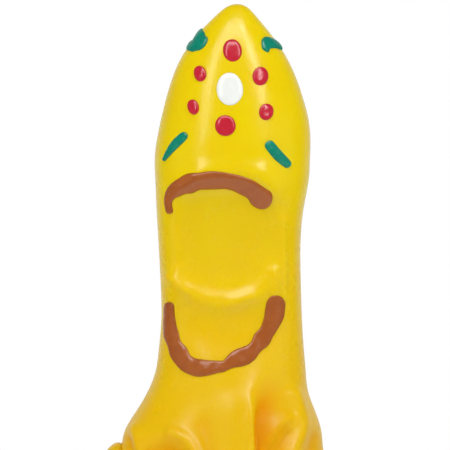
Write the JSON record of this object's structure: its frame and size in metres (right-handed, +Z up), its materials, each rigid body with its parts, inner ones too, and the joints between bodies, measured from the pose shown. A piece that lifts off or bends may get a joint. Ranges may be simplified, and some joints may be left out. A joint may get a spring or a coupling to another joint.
{
  "type": "rubber chicken",
  "caption": "Hollow yellow rubber chicken with a folk-painted neck, red comb, squeaker in its back, and neck, wings and legs that flex.",
  "frame": {"origin": "middle of the neck, where a hand grips it", "axes": "+Z up towards the crown, +Y the way the beak points, +X the chicken's right-hand side"},
  "size_m": [0.1204, 0.1005, 0.4574],
  "materials": {
    "latex_yellow": "smooth glossy latex",
    "latex_red": "glossy painted latex",
    "latex_orange": "satin painted latex",
    "paint_white": "thick glossy latex paint",
    "paint_red": "thick glossy latex paint",
    "paint_green": "thick latex paint",
    "paint_brown": "thick latex paint",
    "paint_black": "glossy latex paint",
    "claw_paint": "satin painted latex",
    "squeaker_plastic": "moulded polyethylene",
    "reed_film": "thin film"
  },
  "bodies": {
    "neck": {"head_and_neck_skin": "latex_yellow", "comb": "latex_red", "left_wattle": "latex_red", "right_wattle": "latex_red", "upper_beak": "latex_orange", "lower_beak": "latex_orange", "left_eye": "paint_white", "right_eye": "paint_white", "left_pupil": "paint_black", "right_pupil": "paint_black", "flower_centre": "paint_white", "flower_petals": "paint_red", "flower_leaves": "paint_green", "upper_neck_band": "paint_brown", "lower_neck_band": "paint_brown"},
    "torso": {"torso_skin": "latex_yellow", "tail": "latex_yellow", "squeaker_barrel": "squeaker_plastic", "squeaker_reed_block": "squeaker_plastic", "squeaker_reed_clamp": "squeaker_plastic"},
    "reed": {"squeaker_reed": "reed_film"},
    "left_wing": {"left_wing": "latex_yellow"},
    "right_wing": {"right_wing": "latex_yellow"},
    "left_drumstick": {"left_drumstick": "latex_yellow"},
    "left_shank": {"left_shank": "latex_orange"},
    "left_foot": {"left_foot": "latex_orange", "left_claws": "claw_paint"},
    "right_drumstick": {"right_drumstick": "latex_yellow"},
    "right_shank": {"right_shank": "latex_orange"},
    "right_foot": {"right_foot": "latex_orange", "right_claws": "claw_paint"}
  },
  "joints": [
    {"name": "neck_bend", "type": "hinge", "parent": "neck", "child": "torso", "pos_m": [0, 0, -0.053], "axis": [1, 0, 0], "range_deg": [-40, 40], "stiffness_Nm_per_rad": 0.15},
    {"name": "reed_flex", "type": "hinge", "parent": "torso", "child": "reed", "pos_m": [0, -0.0283, -0.15745], "axis": [-1, 0, 0], "range_deg": [0, 4], "stiffness_Nm_per_rad": 0.0001},
    {"name": "left_wing_flap", "type": "hinge", "parent": "torso", "child": "left_wing", "pos_m": [-0.0355, 0, -0.065], "axis": [0, 1, 0], "range_deg": [0, 50], "stiffness_Nm_per_rad": 0.03},
    {"name": "right_wing_flap", "type": "hinge", "parent": "torso", "child": "right_wing", "pos_m": [0.0355, 0, -0.065], "axis": [0, -1, 0], "range_deg": [0, 50], "stiffness_Nm_per_rad": 0.03},
    {"name": "left_hip_bend", "type": "hinge", "parent": "torso", "child": "left_drumstick", "pos_m": [-0.0215, 0, -0.21], "axis": [1, 0, 0], "range_deg": [-35, 60], "stiffness_Nm_per_rad": 0.06},
    {"name": "left_hock_bend", "type": "hinge", "parent": "left_drumstick", "child": "left_shank", "pos_m": [-0.0215, 0, -0.284], "axis": [1, 0, 0], "range_deg": [-60, 45], "stiffness_Nm_per_rad": 0.02},
    {"name": "left_ankle_bend", "type": "hinge", "parent": "left_shank", "child": "left_foot", "pos_m": [-0.0215, 0, -0.362], "axis": [1, 0, 0], "range_deg": [-45, 30], "stiffness_Nm_per_rad": 0.015},
    {"name": "right_hip_bend", "type": "hinge", "parent": "torso", "child": "right_drumstick", "pos_m": [0.0215, 0, -0.21], "axis": [1, 0, 0], "range_deg": [-35, 60], "stiffness_Nm_per_rad": 0.06},
    {"name": "right_hock_bend", "type": "hinge", "parent": "right_drumstick", "child": "right_shank", "pos_m": [0.0215, 0, -0.284], "axis": [1, 0, 0], "range_deg": [-60, 45], "stiffness_Nm_per_rad": 0.02},
    {"name": "right_ankle_bend", "type": "hinge", "parent": "right_shank", "child": "right_foot", "pos_m": [0.0215, 0, -0.362], "axis": [1, 0, 0], "range_deg": [-45, 30], "stiffness_Nm_per_rad": 0.015}
  ]
}
